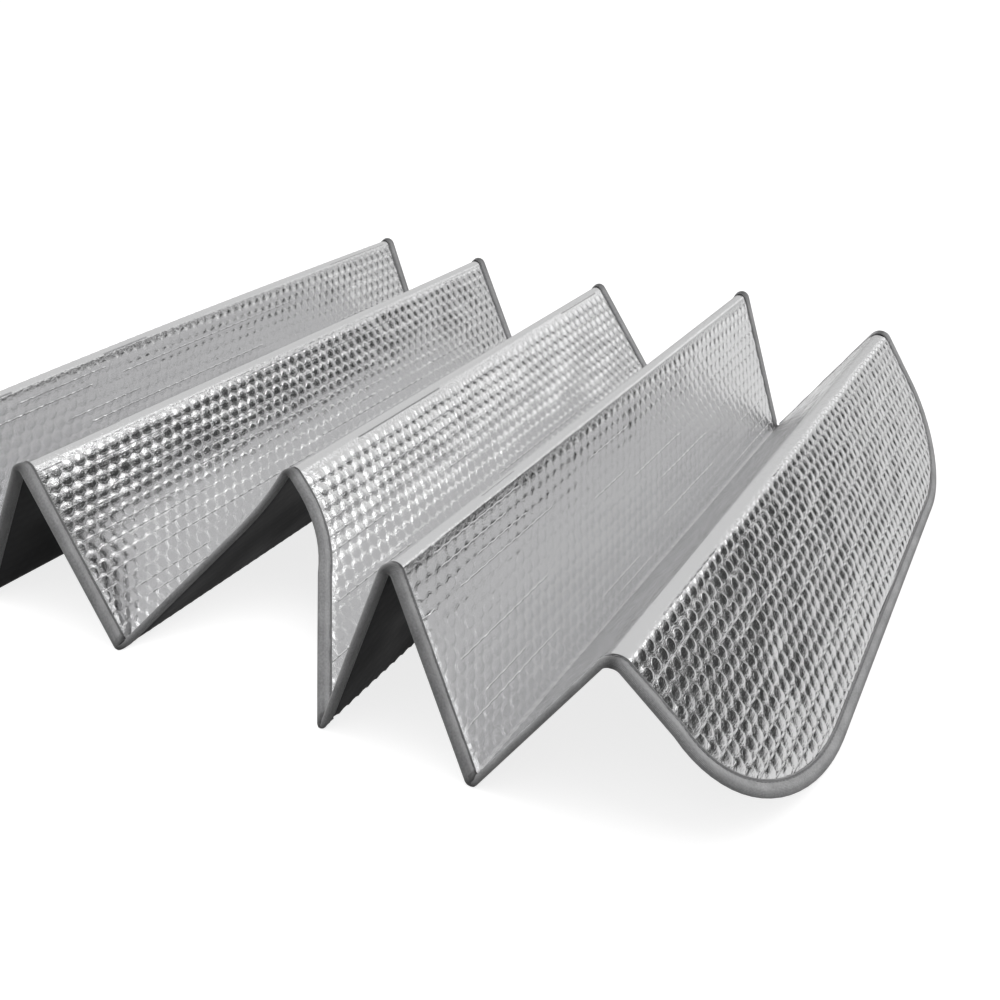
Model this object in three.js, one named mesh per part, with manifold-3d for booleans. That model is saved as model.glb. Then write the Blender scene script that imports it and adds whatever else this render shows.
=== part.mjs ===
// Folding windscreen sunshade: one laminated bubble-foil sheet, folded into ten panels that stand
// in a zigzag, and the fabric tape sewn round its whole edge.
//
// The sheet is built flat, as it is cut from the roll, and then folded. Flat coordinates are
// s, measured across the folds from the middle fold, y, measured along the folds, and n, measured
// out of the sheet towards its bubbly side. Millimetres throughout.
import * as THREE from 'three';
import { mergeVertices } from 'three/addons/utils/BufferGeometryUtils.js';
import Module from 'manifold-3d';

const wasm = await Module();
wasm.setup();

// Sheet: panels and outline
const panelWidth = 132; // fold to fold
const panelsPerSide = 4; // full panels each side of the middle fold, before the end panel
const sheetDepth = 571; // length of a fold, from the front edge to the back edge
const endWidthFront = 138.4; // end panel, fold to outer edge, where the front corner begins
const endWidthBack = 131; // the same where the back corner begins
const frontCorner = { across: 90, along: 130 }; // half axes of the elliptical corner
const backCorner = { across: 80, along: 105 };
const frontSetback = 8; // the end panel's front edge runs back this far before its corner
const cornerSteps = 8;

// Cut-out in the middle of the front edge, for the mirror
const notchDepth = 89;
const notchFlatHalf = 10; // half of the straight stretch at the bottom of the cut-out
const notchShoulder = { across: 62, depth: 65.5 }; // where the rounded shoulder meets the slope
const notchPull = 42; // how far out the shoulder keeps the cut-out's full depth, which rounds it
const notchSteps = 5;

// Section of the sheet, measured from its middle surface
const sheetUnder = 1.9;
const sheetTop = 1.4;
const rimHalf = 0.8; // the rim is pressed to twice this under the tape

// Rows of bubbles, which run along the folds
const bubblePitch = 10;
const rowPitch = bubblePitch * Math.sqrt(3) / 2;
const bubbleRise = 1.2;
const rowBase = 7.6;
const rowCrest = 3.6;
const foldBand = 7; // pressed band without bubbles, each side of a fold
const endBand = 13; // from the outer edge to the first row, under and beside the tape

// Edge tape
const tapeWidth = 8.5; // on the face
const tapeWall = 0.8;
const fitGap = 0.3; // between the tape and the sheet

// Stance: where the sheet meets the floor, at its front edge and at its back edge
const floorSpots = [
  { name: 'left end', x: [-309, -328] },
  { name: 'first valley', x: [-248, -238] },
  { name: 'second valley', x: [-116, -120] },
  { name: 'third valley', x: [47, 38] },
  { name: 'fourth valley', x: [149.5, 148.5] },
  { name: 'right end', x: [322, 302] },
];
// Hand-made creases wander a little: what each panel beside a ridge gains or loses, front and back
const creaseWander = [
  { left: [0, 0], right: [-1, -1] },
  { left: [1, -0.5], right: [-1.5, -4] },
  { left: [0.5, 2.5], right: [4, 1.5] },
  { left: [0, 5.5], right: [-1.5, -1.5] },
  { left: [-0.5, 0], right: [0, 0] },
];
const ridgeRadius = [4.5, 4.5, 4.5, 4.5, 7.5]; // of the middle surface, from left to right
const valleyRadius = 2.6;
const valleyFlatHalf = 1.2; // half of the strip that each valley presses flat on the floor
const endLift = 2.1; // height of the outer edge's middle surface, so that its tape meets the floor

// Fineness of the mesh that is folded
const foldSteps = 3; // each side of a ridge, and of the flat strip of a valley
const steepest = 1.55; // radians; no panel is steeper, so the round part of a fold ends within this
const flatShare = 0.9; // of a valley's flat strip, so that its mesh lines stay inside it
const panelSteps = 3;
const depthSteps = 2;
const weldGap = 1e-3; // mesh corners nearer than this are one corner
const onLine = 1e-4; // a mesh corner nearer than this to a line lies on it
const beyond = 20; // how far a cutting block reaches past what it cuts

const halfDepth = sheetDepth / 2;
const foldCount = 2 * panelsPerSide + 1;
const endFold = panelsPerSide * panelWidth; // s of the outermost fold

// Width of the end panel at y: its outer edge runs in a straight taper
function endWidth(y) {
  const yFront = -halfDepth + frontSetback + frontCorner.along;
  const yBack = halfDepth - backCorner.along;
  const share = (y - yFront) / (yBack - yFront);
  return endWidthFront + (endWidthBack - endWidthFront) * share;
}

// Outline of the flat sheet, anticlockwise, as a closed list of points
function sheetOutline() {
  const bend = new THREE.QuadraticBezierCurve(
    new THREE.Vector2(notchFlatHalf, -halfDepth + notchDepth),
    new THREE.Vector2(notchPull, -halfDepth + notchDepth),
    new THREE.Vector2(notchShoulder.across, -halfDepth + notchShoulder.depth));
  const points = bend.getPoints(notchSteps);
  points.push(new THREE.Vector2(panelWidth, -halfDepth));
  points.push(new THREE.Vector2(endFold, -halfDepth));
  const front = new THREE.EllipseCurve(
    endFold + endWidthFront - frontCorner.across, -halfDepth + frontSetback + frontCorner.along,
    frontCorner.across, frontCorner.along, -Math.PI / 2, 0);
  points.push(...front.getPoints(cornerSteps));
  const back = new THREE.EllipseCurve(
    endFold + endWidthBack - backCorner.across, halfDepth - backCorner.along,
    backCorner.across, backCorner.along, 0, Math.PI / 2);
  points.push(...back.getPoints(cornerSteps));
  const left = points.map((p) => new THREE.Vector2(-p.x, p.y)).reverse();
  return [...points, ...left];
}

// The outline moved outwards by a distance, with mitred corners
function offsetOutline(points, distance) {
  return points.map((point, i) => {
    const before = points[(i + points.length - 1) % points.length];
    const after = points[(i + 1) % points.length];
    const a = point.clone().sub(before).normalize();
    const b = after.clone().sub(point).normalize();
    const normalA = new THREE.Vector2(a.y, -a.x);
    const normalB = new THREE.Vector2(b.y, -b.x);
    const mitre = normalA.clone().add(normalB).normalize();
    return point.clone().addScaledVector(mitre, distance / mitre.dot(normalA));
  });
}

// A closed mesh as a solid
function toSolid(geometry) {
  geometry.deleteAttribute('normal');
  geometry.deleteAttribute('uv');
  const merged = mergeVertices(geometry, onLine);
  return new wasm.Manifold(new wasm.Mesh({
    numProp: 3,
    vertProperties: new Float32Array(merged.attributes.position.array),
    triVerts: new Uint32Array(merged.index.array),
  }));
}

// A flat plate with the given outline, from one height to another
function plate(points, low, high) {
  const geometry = new THREE.ExtrudeGeometry(new THREE.Shape(points), { depth: high - low, bevelEnabled: false });
  geometry.translate(0, 0, low);
  return toSolid(geometry);
}

// Places of the bubble rows between two values of s, centred between them
function rowCentres(from, to) {
  const count = Math.floor((to - from - rowBase) / rowPitch) + 1;
  const first = (from + to - (count - 1) * rowPitch) / 2;
  return Array.from({ length: count }, (_, i) => first + i * rowPitch);
}

// Places of all the rows, from left to right
function allRows() {
  const rows = [];
  for (let panel = -panelsPerSide; panel < panelsPerSide; panel += 1) {
    const start = panel * panelWidth;
    rows.push(...rowCentres(start + foldBand, start + panelWidth - foldBand));
  }
  const endRows = rowCentres(endFold + foldBand, endFold + endWidthFront - endBand);
  return [...endRows.map((s) => -s).reverse(), ...rows, ...endRows];
}

// The bubbly block: a flat underside, and a top face that rises in a low ridge along each row
function bubblyBlock() {
  const reach = endFold + endWidthFront;
  const profile = [new THREE.Vector2(-reach, -sheetUnder), new THREE.Vector2(reach, -sheetUnder)];
  profile.push(new THREE.Vector2(reach, sheetTop));
  for (const s of allRows().reverse()) {
    profile.push(new THREE.Vector2(s + rowBase / 2, sheetTop));
    profile.push(new THREE.Vector2(s + rowCrest / 2, sheetTop + bubbleRise));
    profile.push(new THREE.Vector2(s - rowCrest / 2, sheetTop + bubbleRise));
    profile.push(new THREE.Vector2(s - rowBase / 2, sheetTop));
  }
  profile.push(new THREE.Vector2(-reach, sheetTop));
  const geometry = new THREE.ExtrudeGeometry(new THREE.Shape(profile), { depth: sheetDepth, bevelEnabled: false });
  geometry.rotateX(Math.PI / 2);
  geometry.translate(0, halfDepth, 0);
  return toSolid(geometry);
}

// Flat solids of the two pieces
function flatSheet(outline) {
  const rim = plate(outline, -rimHalf, rimHalf);
  const field = plate(offsetOutline(outline, -tapeWidth - fitGap), -beyond, beyond);
  return rim.add(bubblyBlock().intersect(field));
}

function flatTape(outline) {
  const legHalf = rimHalf + fitGap;
  const band = plate(offsetOutline(outline, fitGap + tapeWall), -legHalf - tapeWall, legHalf + tapeWall);
  const middle = plate(offsetOutline(outline, -tapeWidth), -beyond, beyond);
  const slot = plate(offsetOutline(outline, fitGap), -legHalf, legHalf);
  return band.subtract(middle).subtract(slot);
}

// Splits every triangle that crosses the line where y has the given value
function splitAcross(mesh, value) {
  const positions = mesh.positions;
  const side = positions.map((p) => (Math.abs(p[1] - value) < onLine ? 0 : Math.sign(p[1] - value)));
  const cuts = new Map();
  function cut(i, j) {
    const key = i < j ? `${i}_${j}` : `${j}_${i}`;
    if (!cuts.has(key)) {
      const [a, b] = i < j ? [positions[i], positions[j]] : [positions[j], positions[i]];
      const share = (value - a[1]) / (b[1] - a[1]);
      cuts.set(key, positions.push([a[0] + (b[0] - a[0]) * share, value, a[2] + (b[2] - a[2]) * share]) - 1);
    }
    return cuts.get(key);
  }
  const triangles = [];
  for (const triangle of mesh.triangles) {
    const crosses = triangle.some((i) => side[i] > 0) && triangle.some((i) => side[i] < 0);
    if (!crosses) {
      triangles.push(triangle);
      continue;
    }
    for (const sign of [-1, 1]) {
      const corners = [];
      triangle.forEach((i, k) => {
        const j = triangle[(k + 1) % 3];
        if (side[i] * sign >= 0) corners.push(i);
        if (side[i] * side[j] < 0) corners.push(cut(i, j));
      });
      for (let k = 1; k + 1 < corners.length; k += 1) triangles.push([corners[0], corners[k], corners[k + 1]]);
    }
  }
  return { positions, triangles };
}

// The lines across which the flat mesh has to bend
function bendLines() {
  const lines = [];
  for (let fold = 0; fold < foldCount; fold += 1) {
    const s = (fold - panelsPerSide) * panelWidth;
    const isRidge = fold % 2 === 0;
    const flat = isRidge ? 0 : valleyFlatHalf;
    const reach = foldRadius(fold + 1) * steepest;
    if (isRidge) lines.push(s);
    else lines.push(s - flat * flatShare, s + flat * flatShare);
    for (let k = 1; k <= foldSteps; k += 1) {
      const away = flat + reach * k / foldSteps;
      lines.push(s - away, s + away);
    }
  }
  for (let panel = -panelsPerSide - 1; panel <= panelsPerSide; panel += 1) {
    for (let k = 1; k < panelSteps; k += 1) lines.push((panel + k / panelSteps) * panelWidth);
  }
  return lines.sort((a, b) => a - b);
}

// Stations along the zigzag: 0 is the left end, then valleys and ridges in turn, then the right end
function foldRadius(station) {
  if (station === 0 || station === foldCount + 1) return 0;
  return station % 2 === 1 ? ridgeRadius[(station - 1) / 2] : valleyRadius;
}

// Middle surface at each station, for a given y: spots on the floor, and ridges that two panels reach
function stations(y) {
  const share = (y + halfDepth) / sheetDepth;
  const between = (pair) => pair[0] + (pair[1] - pair[0]) * share;
  const list = [];
  floorSpots.forEach((spot, i) => {
    const atEnd = i === 0 || i === floorSpots.length - 1;
    list[2 * i] = { x: between(spot.x), z: atEnd ? endLift : sheetUnder, bulge: -1 };
  });
  creaseWander.forEach((wander, i) => {
    const a = list[2 * i];
    const b = list[2 * i + 2];
    const left = (i === 0 ? endWidth(y) : panelWidth) + between(wander.left);
    const right = (i === creaseWander.length - 1 ? endWidth(y) : panelWidth) + between(wander.right);
    const span = Math.hypot(b.x - a.x, b.z - a.z);
    const along = (span * span + left * left - right * right) / (2 * span);
    const up = Math.sqrt(left * left - along * along);
    const dx = (b.x - a.x) / span;
    const dz = (b.z - a.z) / span;
    list[2 * i + 1] = { x: a.x + along * dx - up * dz, z: a.z + along * dz + up * dx, bulge: 1 };
  });
  return list.map((station, i) => {
    const radius = foldRadius(i);
    const flat = station.bulge < 0 && radius > 0 ? valleyFlatHalf : 0;
    return { ...station, radius, flat, cz: station.z - station.bulge * radius };
  });
}

// Straight run between two neighbouring folds: the line that touches both their round parts
function straightRun(a, b) {
  const dx = b.x - b.flat - a.x - a.flat;
  const dz = b.cz - a.cz;
  const distance = Math.hypot(dx, dz);
  const gap = a.bulge * a.radius - b.bulge * b.radius;
  const slope = Math.atan2(dz, dx) - Math.asin(gap / distance);
  return { slope, length: Math.sqrt(distance * distance - gap * gap) };
}

// A flat point of the sheet, folded
function folded([s, y, n]) {
  const list = stations(y);
  const whole = Math.floor(s / panelWidth) + panelsPerSide;
  const panel = Math.min(Math.max(whole, -1), foldCount - 1);
  const a = list[panel + 1];
  const b = list[panel + 2];
  const isLeftEnd = panel === -1;
  const isRightEnd = panel === foldCount - 1;
  const width = isLeftEnd || isRightEnd ? endWidth(y) : panelWidth;
  const start = isLeftEnd ? -endFold - width : (panel - panelsPerSide) * panelWidth;
  const { slope, length } = straightRun(a, b);
  const arcA = a.radius * Math.abs(slope);
  const arcB = b.radius * Math.abs(slope);
  const path = a.flat + arcA + length + arcB + b.flat;
  const t = (s - start) / width * path;
  const fromA = t - a.flat;
  const fromB = path - b.flat - t;
  let angle = slope;
  let x;
  let z;
  if (a.radius > 0 && fromA < arcA) {
    angle = fromA > 0 ? slope * fromA / arcA : 0;
    x = a.x + Math.min(t, a.flat) - a.bulge * a.radius * Math.sin(angle);
    z = a.cz + a.bulge * a.radius * Math.cos(angle);
  } else if (b.radius > 0 && fromB < arcB) {
    angle = fromB > 0 ? slope * fromB / arcB : 0;
    x = b.x - Math.min(path - t, b.flat) - b.bulge * b.radius * Math.sin(angle);
    z = b.cz + b.bulge * b.radius * Math.cos(angle);
  } else {
    x = a.x + a.flat - a.bulge * a.radius * Math.sin(slope) + (fromA - arcA) * Math.cos(slope);
    z = a.cz + a.bulge * a.radius * Math.cos(slope) + (fromA - arcA) * Math.sin(slope);
  }
  return [x - n * Math.sin(angle), y, z + n * Math.cos(angle)];
}

// The flat solid between two values of s, as a mesh without the faces where it was cut
function slab(solid, from, to) {
  const geometry = new THREE.BoxGeometry(to - from, sheetDepth + 2 * beyond, 2 * beyond);
  geometry.translate((from + to) / 2, 0, 0);
  const { numProp, vertProperties, triVerts } = solid.intersect(toSolid(geometry)).getMesh();
  const positions = [];
  for (let i = 0; i < vertProperties.length; i += numProp) {
    positions.push([vertProperties[i], vertProperties[i + 1], vertProperties[i + 2]]);
  }
  const triangles = [];
  for (let i = 0; i < triVerts.length; i += 3) {
    const triangle = [...triVerts.slice(i, i + 3)];
    const isCut = [from, to].some((s) => triangle.every((k) => Math.abs(positions[k][0] - s) < onLine));
    if (!isCut) triangles.push(triangle);
  }
  return { positions, triangles };
}

// A flat solid, folded: cut along the bend lines and joined again once each part has its place
function foldSolid(solid) {
  const reach = endFold + endWidthFront + beyond;
  const lines = [-reach, ...bendLines(), reach];
  const positions = [];
  const indices = [];
  for (let i = 0; i + 1 < lines.length; i += 1) {
    let mesh = slab(solid, lines[i], lines[i + 1]);
    for (let k = 1; k < depthSteps; k += 1) mesh = splitAcross(mesh, -halfDepth + sheetDepth * k / depthSteps);
    const base = positions.length / 3;
    positions.push(...mesh.positions.flatMap(folded));
    indices.push(...mesh.triangles.flat().map((k) => k + base));
  }
  const geometry = new THREE.BufferGeometry();
  geometry.setAttribute('position', new THREE.Float32BufferAttribute(positions, 3));
  geometry.setIndex(indices);
  return mergeVertices(geometry, weldGap);
}

function piece(name, solid, material) {
  const mesh = new THREE.Mesh(foldSolid(solid), material);
  mesh.name = name;
  return mesh;
}

const foil = new THREE.MeshStandardMaterial({ color: 0xc6c8ca, metalness: 0.9, roughness: 0.3 });
const fabric = new THREE.MeshStandardMaterial({ color: 0x8b8b8c, metalness: 0, roughness: 0.9 });

const outline = sheetOutline();
const shade = new THREE.Group();
shade.add(piece('foil_sheet', flatSheet(outline), foil));
shade.add(piece('edge_binding', flatTape(outline), fabric));

// The origin is on the floor, under the middle of the whole shade
const box = new THREE.Box3().setFromObject(shade);
const middle = box.getCenter(new THREE.Vector3());
shade.position.set(-middle.x, -middle.y, -box.min.z);

export default shade;
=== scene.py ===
# %% [markdown]
# # A folding windscreen sunshade
# The real one is a single sheet of bubble foil. A bright metallised film lies over rows of small air
# bubbles, and a fabric tape is sewn round the whole edge. The sheet is creased into ten panels and
# stands on its lower folds. This lesson makes every piece flat, as in the factory, and then folds it
# with one function, so film, backing, tape and thread stay together.

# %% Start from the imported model
import math

import bmesh
import bpy
import numpy as np
from mathutils import Matrix, Vector


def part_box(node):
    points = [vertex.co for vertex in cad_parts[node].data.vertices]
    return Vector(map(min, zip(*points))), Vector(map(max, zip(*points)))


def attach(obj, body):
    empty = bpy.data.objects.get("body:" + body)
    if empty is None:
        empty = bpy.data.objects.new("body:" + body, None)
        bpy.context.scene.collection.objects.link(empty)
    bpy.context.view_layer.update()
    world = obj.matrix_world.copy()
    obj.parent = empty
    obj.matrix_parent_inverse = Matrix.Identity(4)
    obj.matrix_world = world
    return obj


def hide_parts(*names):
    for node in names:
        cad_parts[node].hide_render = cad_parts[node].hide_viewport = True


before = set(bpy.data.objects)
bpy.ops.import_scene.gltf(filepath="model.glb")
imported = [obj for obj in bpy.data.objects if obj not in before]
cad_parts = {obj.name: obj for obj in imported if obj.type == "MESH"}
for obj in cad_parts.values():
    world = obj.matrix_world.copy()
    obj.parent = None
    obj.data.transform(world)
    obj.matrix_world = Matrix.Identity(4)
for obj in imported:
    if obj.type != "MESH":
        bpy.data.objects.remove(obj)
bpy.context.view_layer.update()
MM = 0.001
print("solids:", sorted(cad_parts))

# %% [markdown]
# ## Measures
# These are the driving sizes of the part, in millimetres. Flat coordinates are s, across the folds
# from the middle fold, y, along the folds, and n, out of the sheet towards its bubbly side.

# %% Sizes of the sheet, its folds and its stance
panel_width = 132.0
panels_per_side = 4
sheet_depth = 571.0
half_depth = sheet_depth / 2
end_fold = panels_per_side * panel_width
end_width_front = 138.4
end_width_back = 131.0
front_corner = (90.0, 130.0)
back_corner = (80.0, 105.0)
front_setback = 8.0
notch_depth = 89.0
notch_flat_half = 10.0
notch_pull = 42.0
notch_shoulder = (62.0, 65.5)
sheet_under = 1.9
sheet_top = 1.4
floor_spots = [(-309, -328), (-248, -238), (-116, -120), (47, 38), (149.5, 148.5), (322, 302)]
crease_wander = [
    ((0, 0), (-1, -1)),
    ((1, -0.5), (-1.5, -4)),
    ((0.5, 2.5), (4, 1.5)),
    ((0, 5.5), (-1.5, -1.5)),
    ((-0.5, 0), (0, 0)),
]
ridge_radius = [4.5, 4.5, 4.5, 4.5, 7.5]
valley_radius = 1.6
valley_flat_half = 0.5
end_lift = 2.1
origin_shift = 3.8355
tape_width = 8.5
tape_round = 30.0
stitch_line = tape_width - 1.7
stitch_spacing = 3.6
bubble_pitch = 10.0
row_pitch = bubble_pitch * math.sqrt(3) / 2
ridge_band = 7.0
end_ridge_band = 3.4
valley_band = 3.2
row_reach = 3.8
ridge_drop = 1.0
ridge_drop_reach = 8.0
rim_height = 0.75
press_start = tape_width - 0.7
press_end = tape_width + 2.8
print("flat sheet", 2 * (end_fold + end_width_front), "by", sheet_depth, "mm")

# %% [markdown]
# ## Camera
# The camera looks down at the shade from its front right. It comes first, because every later
# choice of detail is judged through it.

# %% Camera
camera_place = np.array([397.5 + origin_shift, -700.4, 421.45]) * MM
yaw, pitch, roll = (math.radians(a) for a in (-29.047, 26.903, 0.293))
focal_share = 1.13305
forward = np.array([math.sin(yaw) * math.cos(pitch), math.cos(yaw) * math.cos(pitch), -math.sin(pitch)])
level_right = np.array([math.cos(yaw), -math.sin(yaw), 0.0])
level_up = np.cross(level_right, forward)
camera_right = math.cos(roll) * level_right + math.sin(roll) * level_up
camera_up = -math.sin(roll) * level_right + math.cos(roll) * level_up
camera_data = bpy.data.cameras.new("camera")
camera_data.sensor_width = 36.0
camera_data.lens = focal_share * camera_data.sensor_width
camera_data.clip_end = 100.0
camera = bpy.data.objects.new("camera", camera_data)
turn = Matrix(np.column_stack([camera_right, camera_up, -forward]).tolist()).to_4x4()
camera.matrix_world = Matrix.Translation(Vector(camera_place)) @ turn
bpy.context.scene.collection.objects.link(camera)
bpy.context.scene.camera = camera
bpy.context.scene.view_settings.view_transform = "Standard"
print("lens", round(camera_data.lens, 2), "mm")

# %% [markdown]
# ## Folding
# One function takes a flat point to its place in the standing zigzag. Each fold is a round bend with
# straight runs between. The valleys have a narrow strip pressed flat on the floor.

# %% Fold a flat point
def end_width(y):
    y_front = -half_depth + front_setback + front_corner[1]
    y_back = half_depth - back_corner[1]
    return end_width_front + (end_width_back - end_width_front) * (y - y_front) / (y_back - y_front)


def stations(y):
    """Place of the middle surface at each fold for every y, from the left end to the right end."""
    share = (y + half_depth) / sheet_depth
    last = 2 * len(crease_wander)
    xs = [None] * (last + 1)
    zs = [None] * (last + 1)
    for i, (front, back) in enumerate(floor_spots):
        xs[2 * i] = front + (back - front) * share
        zs[2 * i] = np.full_like(y, end_lift if 2 * i in (0, last) else sheet_under)
    for i, (left, right) in enumerate(crease_wander):
        ax, az, bx, bz = xs[2 * i], zs[2 * i], xs[2 * i + 2], zs[2 * i + 2]
        reach_left = (end_width(y) if i == 0 else panel_width) + left[0] + (left[1] - left[0]) * share
        reach_right = end_width(y) if 2 * i + 2 == last else panel_width
        reach_right = reach_right + right[0] + (right[1] - right[0]) * share
        span = np.hypot(bx - ax, bz - az)
        along = (span ** 2 + reach_left ** 2 - reach_right ** 2) / (2 * span)
        up = np.sqrt(reach_left ** 2 - along ** 2)
        dx, dz = (bx - ax) / span, (bz - az) / span
        xs[2 * i + 1] = ax + along * dx - up * dz
        zs[2 * i + 1] = az + along * dz + up * dx
    return np.array(xs), np.array(zs)


station_radius = np.array([0.0] + [r for ridge in ridge_radius for r in (ridge, valley_radius)])
station_radius[-1] = 0.0
station_bulge = np.array([-1.0, 1.0] * len(ridge_radius) + [-1.0])
station_flat = np.where((station_bulge < 0) & (station_radius > 0), valley_flat_half, 0.0)


def folded(points):
    """Flat points (s, y, n) in millimetres to places in the row frame, in metres."""
    s, y, n = points.T
    xs, zs = stations(y)
    panel = np.clip(np.floor(s / panel_width), -panels_per_side - 1, panels_per_side).astype(int)
    at = panel + panels_per_side + 1
    lane = np.arange(len(s))
    ax, az, bx, bz = xs[at, lane], zs[at, lane], xs[at + 1, lane], zs[at + 1, lane]
    bend_a = station_bulge[at] * station_radius[at]
    bend_b = station_bulge[at + 1] * station_radius[at + 1]
    flat_a, flat_b = station_flat[at], station_flat[at + 1]
    dx = bx - flat_b - ax - flat_a
    dz = (bz - bend_b) - (az - bend_a)
    distance = np.hypot(dx, dz)
    slope = np.arctan2(dz, dx) - np.arcsin((bend_a - bend_b) / distance)
    run = np.sqrt(distance ** 2 - (bend_a - bend_b) ** 2)
    is_end = (panel == -panels_per_side - 1) | (panel == panels_per_side)
    width = np.where(is_end, end_width(y), panel_width)
    start = np.where(panel == -panels_per_side - 1, -end_fold - width, panel * panel_width)
    arc_a = np.abs(bend_a * slope)
    arc_b = np.abs(bend_b * slope)
    path = flat_a + arc_a + run + arc_b + flat_b
    t = (s - start) / width * path
    from_a = t - flat_a
    from_b = path - flat_b - t
    in_a = (arc_a > 0) & (from_a < arc_a)
    in_b = (arc_b > 0) & (from_b < arc_b) & ~in_a
    angle_a = slope * np.clip(from_a / np.maximum(arc_a, 1e-9), 0, 1)
    angle_b = slope * np.clip(from_b / np.maximum(arc_b, 1e-9), 0, 1)
    angle = np.where(in_a, angle_a, np.where(in_b, angle_b, slope))
    sin, cos = np.sin(angle), np.cos(angle)
    x = np.where(in_a, ax + np.minimum(t, flat_a) - bend_a * sin,
                 np.where(in_b, bx - np.minimum(path - t, flat_b) - bend_b * sin,
                          ax + flat_a - bend_a * sin + (from_a - arc_a) * cos))
    z = np.where(in_b, bz - bend_b + bend_b * cos,
                 az - bend_a + bend_a * cos + np.where(in_a, 0.0, (from_a - arc_a) * sin))
    return np.column_stack([x - n * sin + origin_shift, y, z + n * cos]) * MM


low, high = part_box("edge_binding")
corners = folded(np.array([[s, 0.0, 0.0] for s in (-end_fold - 134.7, end_fold + 134.7)]))
print("ends of the folded sheet", corners[:, 0], "CAD box", low[0], high[0])

# %% [markdown]
# ## Outline of the flat sheet
# Both ends have large round corners, and the front edge has a cut-out for the mirror. The outline is
# also used to press the film down towards the tape, so a helper measures how far inside it a point is.

# %% Outline and distance to it
def outline_points(corner_steps=20, notch_steps=10):
    t = np.linspace(0, 1, notch_steps + 1)[:, None]
    first = np.array([notch_flat_half, notch_depth])
    pull = np.array([notch_pull, notch_depth])
    points = [(1 - t) ** 2 * first + 2 * t * (1 - t) * pull + t ** 2 * np.array(notch_shoulder)]
    points.append(np.array([[panel_width, 0.0], [end_fold, 0.0]]))
    turn_by = np.linspace(-math.pi / 2, 0, corner_steps + 1)
    points.append(np.column_stack([
        end_fold + end_width_front - front_corner[0] + front_corner[0] * np.cos(turn_by),
        front_setback + front_corner[1] + front_corner[1] * np.sin(turn_by)]))
    turn_by = np.linspace(0, math.pi / 2, corner_steps + 1)
    points.append(np.column_stack([
        end_fold + end_width_back - back_corner[0] + back_corner[0] * np.cos(turn_by),
        sheet_depth - back_corner[1] + back_corner[1] * np.sin(turn_by)]))
    right = np.vstack(points) - [0.0, half_depth]
    return np.vstack([right, (right * [-1, 1])[::-1]])


outline = outline_points()


def inside_by(points, lump=40000):
    """Distance of flat points inside the outline (negative outside), and the nearest outline point."""
    start, end = outline, np.roll(outline, -1, axis=0)
    step = end - start
    length2 = (step ** 2).sum(1)
    depth, nearest = [], []
    for k in range(0, len(points), lump):
        p = points[k:k + lump, None, :2]
        t = np.clip(((p - start) * step).sum(2) / length2, 0, 1)
        foot = start + t[..., None] * step
        gap = np.hypot(*np.moveaxis(p - foot, 2, 0))
        best = gap.argmin(1)
        lane = np.arange(len(best))
        above = (start[:, 1] > p[..., 1]) != (end[:, 1] > p[..., 1])
        rise = np.where(step[:, 1] == 0, 1e-9, step[:, 1])
        crossing = start[:, 0] + (p[..., 1] - start[:, 1]) / rise * step[:, 0]
        inside = (above & (p[..., 0] < crossing)).sum(1) % 2 == 1
        depth.append(np.where(inside, gap[lane, best], -gap[lane, best]))
        nearest.append(foot[lane, best])
    return np.concatenate(depth), np.vstack(nearest)


# %% [markdown]
# ## Small helpers
# One makes a mesh object from points and faces, one links sockets in a node tree, and one turns an
# object with a Geometry Nodes modifier into a plain mesh.

# %% Helpers
def new_object(name, points, faces, material=None, edges=()):
    mesh = bpy.data.meshes.new(name)
    mesh.from_pydata(np.asarray(points).tolist(), list(edges), [list(map(int, f)) for f in faces])
    if material:
        mesh.materials.append(material)
    made = bpy.data.objects.new(name, mesh)
    bpy.context.scene.collection.objects.link(made)
    return made


def read_points(mesh):
    flat = np.empty(len(mesh.vertices) * 3)
    mesh.vertices.foreach_get("co", flat)
    return flat.reshape(-1, 3)


def write_points(mesh, points):
    mesh.vertices.foreach_set("co", np.ascontiguousarray(points, dtype=np.float64).ravel())
    mesh.update()


def shade_smooth(mesh):
    mesh.polygons.foreach_set("use_smooth", [True] * len(mesh.polygons))


def baked_mesh(thing):
    """The evaluated mesh of an object with its modifier, as a plain mesh."""
    bpy.context.view_layer.update()
    graph = bpy.context.evaluated_depsgraph_get()
    return bpy.data.meshes.new_from_object(thing.evaluated_get(graph))


def node_tree(name, inputs):
    """An empty Geometry Nodes tree with named inputs (name, socket type, value)."""
    tree = bpy.data.node_groups.new(name, "GeometryNodeTree")
    tree.interface.new_socket("Geometry", in_out="INPUT", socket_type="NodeSocketGeometry")
    tree.interface.new_socket("Geometry", in_out="OUTPUT", socket_type="NodeSocketGeometry")
    for label, kind, value in inputs:
        socket = tree.interface.new_socket(label, in_out="INPUT", socket_type=kind)
        if value is not None:
            socket.default_value = value
    return tree


def add_node(tree, kind, settings=None, **sources):
    """A node with its settings, whose inputs are linked or set by name (an underscore for a space)."""
    node = tree.nodes.new(kind)
    for key, value in (settings or {}).items():
        setattr(node, key, value)
    for key, value in sources.items():
        wanted = key.replace("_", " ").lower()
        socket = next(s for s in node.inputs if s.name.lower() == wanted and s.enabled)
        if isinstance(value, bpy.types.NodeSocket):
            tree.links.new(value, socket)
        else:
            socket.default_value = value
    return node


def math_node(tree, operation, a, b=0.0):
    node = tree.nodes.new("ShaderNodeMath")
    node.operation = operation
    for socket, value in zip(node.inputs, (a, b)):
        if isinstance(value, bpy.types.NodeSocket):
            tree.links.new(value, socket)
        else:
            socket.default_value = value
    return node.outputs[0]


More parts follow.
